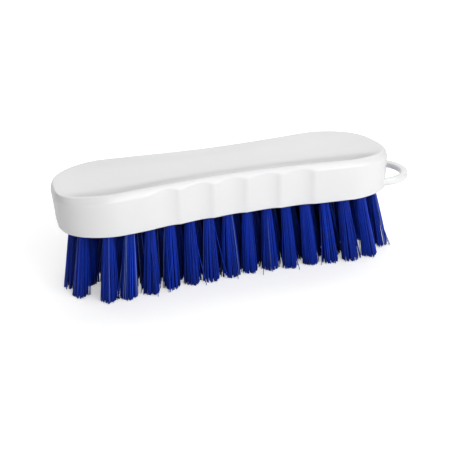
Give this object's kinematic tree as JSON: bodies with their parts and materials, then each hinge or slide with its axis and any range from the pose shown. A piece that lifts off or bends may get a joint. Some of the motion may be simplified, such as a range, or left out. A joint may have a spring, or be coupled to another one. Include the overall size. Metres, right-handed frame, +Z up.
{
  "type": "scrub brush",
  "caption": "Hand scrub brush: waisted block with a dished top, finger flutes and a hanging loop, filled with flared tufts of stiff bristle that stand on their trimmed tips.",
  "frame": {"origin": "middle of the whole brush, hanging loop included, on the surface that the trimmed tips stand on", "axes": "+X along the block to its hanging loop, +Y across the block, +Z up from the tips through the block"},
  "size_m": [0.2032, 0.066, 0.0603],
  "materials": {
    "block": "white polypropylene, injection moulded, glossy",
    "bristle": "royal blue polyester filament, drawn, satin",
    "anchor_wire": "flat drawn stainless wire"
  },
  "bodies": {
    "root": {"block": "block", "tufts_00": "bristle", "tufts_01": "bristle", "tufts_02": "bristle", "tufts_03": "bristle", "tufts_04": "bristle", "tufts_05": "bristle", "tufts_06": "bristle", "tufts_07": "bristle", "tufts_08": "bristle", "tufts_09": "bristle", "tufts_10": "bristle", "tufts_11": "bristle", "tufts_12": "bristle", "tufts_13": "bristle", "tufts_14": "bristle", "anchors_00": "anchor_wire", "anchors_01": "anchor_wire", "anchors_02": "anchor_wire", "anchors_03": "anchor_wire", "anchors_04": "anchor_wire", "anchors_05": "anchor_wire", "anchors_06": "anchor_wire", "anchors_07": "anchor_wire", "anchors_08": "anchor_wire", "anchors_09": "anchor_wire", "anchors_10": "anchor_wire", "anchors_11": "anchor_wire", "anchors_12": "anchor_wire", "anchors_13": "anchor_wire", "anchors_14": "anchor_wire"}
  },
  "joints": []
}
